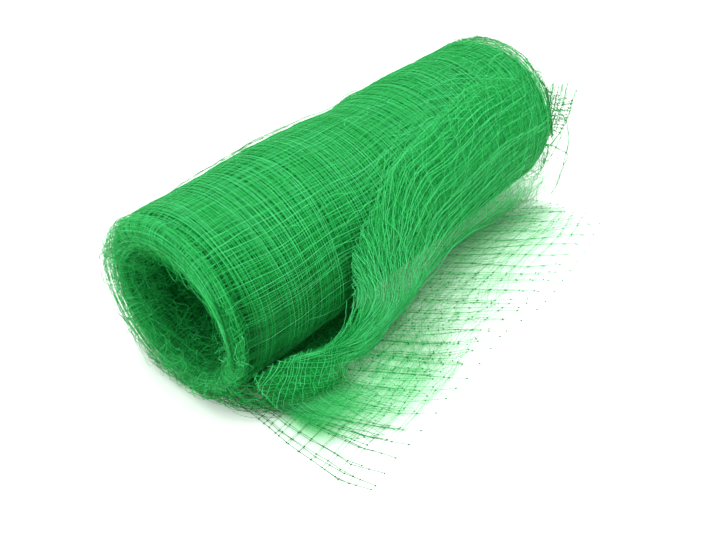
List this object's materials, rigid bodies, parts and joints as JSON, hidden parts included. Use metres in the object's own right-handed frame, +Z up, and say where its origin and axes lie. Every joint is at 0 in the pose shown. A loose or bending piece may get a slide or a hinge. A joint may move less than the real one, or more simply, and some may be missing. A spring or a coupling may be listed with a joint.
{
  "type": "bird netting roll",
  "caption": "Coreless roll of light knotted garden netting with its loose end gathered over one side and spread on the floor.",
  "frame": {"origin": "middle of the flat spot on which the roll rests", "axes": "+X along the roll's axis from its near mouth to its far one, +Z up, and the loose end spreads towards -Y"},
  "size_m": [0.487, 0.2969, 0.1737],
  "materials": {
    "wound_net": "fine green plastic thread, wound in many layers",
    "loose_net": "fine green plastic thread, open knotted mesh"
  },
  "bodies": {
    "root": {"net_roll": "wound_net", "loose_flap": "loose_net", "floor_sheet": "loose_net"}
  },
  "joints": []
}
